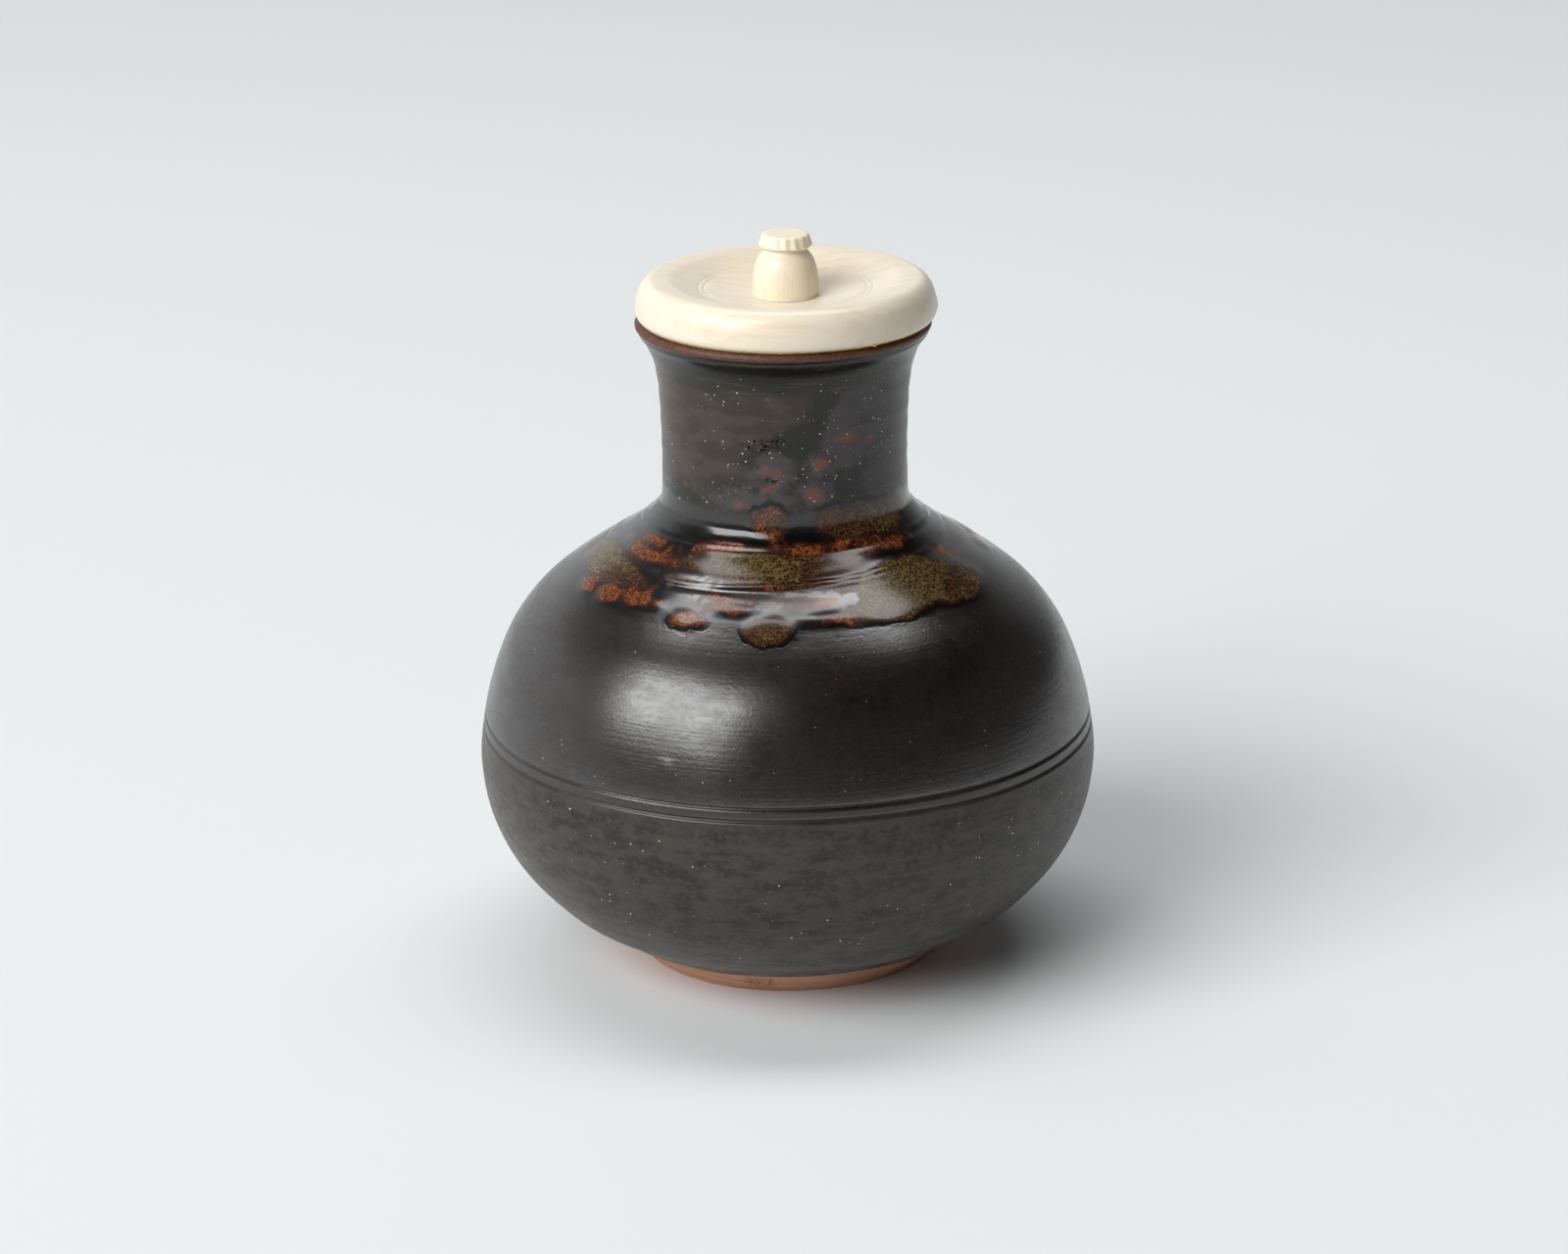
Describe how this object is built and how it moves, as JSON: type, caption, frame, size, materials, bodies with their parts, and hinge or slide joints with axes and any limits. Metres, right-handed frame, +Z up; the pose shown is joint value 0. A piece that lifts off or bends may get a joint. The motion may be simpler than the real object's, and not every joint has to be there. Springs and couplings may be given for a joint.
{
  "type": "tea caddy",
  "caption": "Small lidded tea caddy: round stoneware jar with a tall straight neck under a dark iron glaze, closed by a turned ivory-coloured lid with a fluted knob.",
  "frame": {"origin": "centre of the foot's underside, where the jar stands", "axes": "+Z up along the jar's axis; +X to the jar's right when the side with the ash drops faces the viewer; -Y is that front"},
  "size_m": [0.068, 0.068, 0.0811],
  "materials": {
    "fired_clay": "bare fired stoneware, fine and matt, orange-brown",
    "iron_glaze": "iron glaze, near-black and brown, satin below and glossy on the shoulder, with rust and olive ash pools",
    "ivory_plate": "ivory-coloured, turned and polished to a soft shine, grain level",
    "ivory_knob": "ivory-coloured, turned, carved and polished, grain upright",
    "lining_paper": "thin handmade backing paper, matt",
    "gold_leaf": "gold leaf over size, softly shining, crinkled"
  },
  "bodies": {
    "jar": {"stoneware_jar": "fired_clay", "glaze_coat": "iron_glaze"},
    "lid": {"lid_plate": "ivory_plate", "lid_knob": "ivory_knob", "backing_paper": "lining_paper", "gold_leaf": "gold_leaf"}
  },
  "joints": [
    {"name": "lid_lift", "type": "slide", "parent": "jar", "child": "lid", "axis": [0, 0, 1], "range_m": [0, 0.04]}
  ]
}
